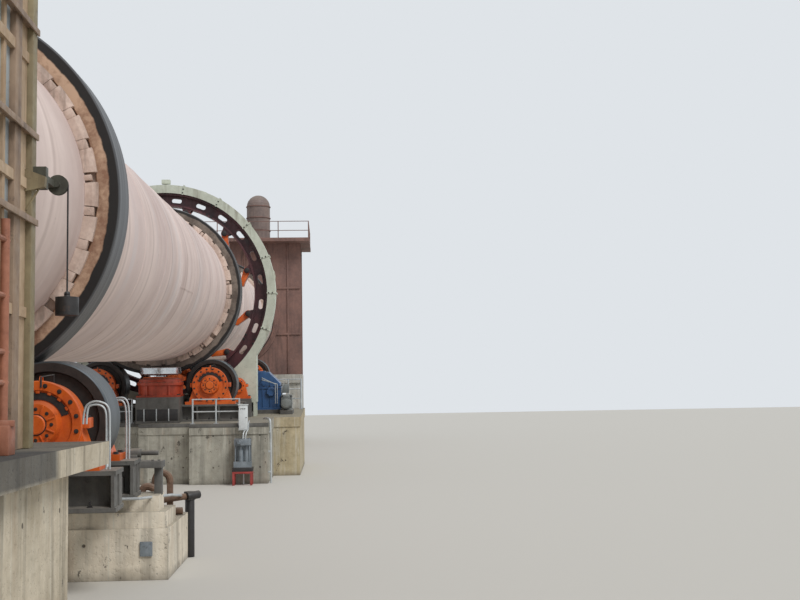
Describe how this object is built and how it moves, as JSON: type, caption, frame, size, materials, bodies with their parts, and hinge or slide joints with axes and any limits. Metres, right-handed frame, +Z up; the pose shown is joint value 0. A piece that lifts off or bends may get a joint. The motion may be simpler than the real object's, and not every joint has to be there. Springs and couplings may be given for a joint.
{
  "type": "rotary kiln, half-size model",
  "caption": "Long, gently sloping steel kiln shell on tyres and rollers, with a guarded girth gear, spring plates, pinion drive and a thrust roller, on concrete piers.",
  "frame": {"origin": "on the floor under the kiln axis at the middle tyre, in the base of the middle pier", "axes": "+X along the floor towards the high (feed) end, +Z up, -Y to the drive side"},
  "size_m": [28.37, 4.004, 6.5994],
  "materials": {
    "shell_plate": "matte, heat stained",
    "brick_lining": "rough brick",
    "cast_steel": "rough cast",
    "rust_plate": "rusty",
    "tyre_steel": "rolled bright, rusty faces",
    "pad_steel": "matte plate",
    "gear_steel": "satin, greasy",
    "spring_steel": "satin",
    "orange_paint": "satin",
    "bright_steel": "polished",
    "roller_steel": "rolled bright",
    "dark_frame": "satin",
    "concrete": "board-marked concrete",
    "pale_guard": "satin",
    "pinion_steel": "machined, greasy",
    "blue_paint": "satin",
    "grey_paint": "satin",
    "panel_paint": "satin",
    "oil_paint": "satin",
    "hood_paint": "matte, worn"
  },
  "bodies": {
    "foundation": {"housings_low": "orange_paint", "housings_mid": "orange_paint", "housings_high": "orange_paint", "frame_low": "dark_frame", "frame_mid": "dark_frame", "frame_high": "dark_frame", "pier_low": "concrete", "pier_mid": "concrete", "pier_high": "concrete", "pier_drive": "concrete", "thrust_housing": "orange_paint", "gear_guard": "pale_guard", "pinion_cover": "pale_guard", "guard_legs": "pale_guard", "pinion_bearings": "orange_paint", "reducer": "blue_paint", "main_motor": "grey_paint", "barring_motor": "grey_paint", "drive_base": "dark_frame", "handrails": "panel_paint", "control_box": "panel_paint", "hydraulic_unit": "oil_paint", "discharge_hood": "hood_paint", "hood_platform": "concrete", "weight_arm": "dark_frame", "seal_weight": "dark_frame", "feed_chamber": "rust_plate", "inlet_seal": "rust_plate", "feed_walkway": "rust_plate", "feed_duct": "rust_plate", "pier_feed": "concrete"},
    "rotating_kiln": {"shell": "shell_plate", "lining": "brick_lining", "nose_ring": "cast_steel", "feed_ring": "rust_plate", "tyre_low": "tyre_steel", "tyre_mid": "tyre_steel", "tyre_high": "tyre_steel", "pads_low": "pad_steel", "pads_mid": "pad_steel", "pads_high": "pad_steel", "girth_gear": "gear_steel", "spring_plates": "spring_steel", "clevis_forks": "orange_paint", "clevis_pins": "bright_steel"},
    "roller_low_a": {"roller_low_a": "roller_steel"},
    "roller_low_b": {"roller_low_b": "roller_steel"},
    "roller_mid_a": {"roller_mid_a": "roller_steel"},
    "roller_mid_b": {"roller_mid_b": "roller_steel"},
    "roller_high_a": {"roller_high_a": "roller_steel"},
    "roller_high_b": {"roller_high_b": "roller_steel"},
    "pinion": {"pinion": "pinion_steel"},
    "thrust_roller": {"thrust_roller": "bright_steel"}
  },
  "joints": [
    {"name": "kiln_spin", "type": "hinge", "parent": "foundation", "child": "rotating_kiln", "pos_m": [0, 0, 2.695], "axis": [0.9994, 0, 0.035], "continuous": true},
    {"name": "roller_low_a_spin", "type": "hinge", "parent": "foundation", "child": "roller_low_a", "pos_m": [-9.44688, -0.7802, 1.01198], "axis": [0.9994, 0, 0.035], "continuous": true},
    {"name": "roller_low_b_spin", "type": "hinge", "parent": "foundation", "child": "roller_low_b", "pos_m": [-9.44688, 0.7802, 1.01198], "axis": [0.9994, 0, 0.035], "continuous": true},
    {"name": "roller_mid_a_spin", "type": "hinge", "parent": "foundation", "child": "roller_mid_a", "pos_m": [0.0473, -0.7802, 1.34448], "axis": [0.9994, 0, 0.035], "continuous": true},
    {"name": "roller_mid_b_spin", "type": "hinge", "parent": "foundation", "child": "roller_mid_b", "pos_m": [0.0473, 0.7802, 1.34448], "axis": [0.9994, 0, 0.035], "continuous": true},
    {"name": "roller_high_a_spin", "type": "hinge", "parent": "foundation", "child": "roller_high_a", "pos_m": [9.04178, -0.7802, 1.65948], "axis": [0.9994, 0, 0.035], "continuous": true},
    {"name": "roller_high_b_spin", "type": "hinge", "parent": "foundation", "child": "roller_high_b", "pos_m": [9.04178, 0.7802, 1.65948], "axis": [0.9994, 0, 0.035], "continuous": true},
    {"name": "pinion_spin", "type": "hinge", "parent": "foundation", "child": "pinion", "pos_m": [0.04865, -1.08603, 1.3058], "axis": [0.9994, 0, 0.035], "continuous": true},
    {"name": "thrust_roller_spin", "type": "hinge", "parent": "foundation", "child": "thrust_roller", "pos_m": [-0.39848, -0.1, 1.49032], "axis": [-0.035, 0, 0.9994], "continuous": true}
  ],
  "couplings": [
    {"joint": "roller_low_a_spin", "follows": "kiln_spin", "ratio": -3.3333},
    {"joint": "roller_low_b_spin", "follows": "kiln_spin", "ratio": -3.3333},
    {"joint": "roller_mid_a_spin", "follows": "kiln_spin", "ratio": -3.3333},
    {"joint": "roller_mid_b_spin", "follows": "kiln_spin", "ratio": -3.3333},
    {"joint": "roller_high_a_spin", "follows": "kiln_spin", "ratio": -3.3333},
    {"joint": "roller_high_b_spin", "follows": "kiln_spin", "ratio": -3.3333},
    {"joint": "pinion_spin", "follows": "kiln_spin", "ratio": -7.6471},
    {"joint": "thrust_roller_spin", "follows": "kiln_spin", "ratio": 4.0786}
  ]
}
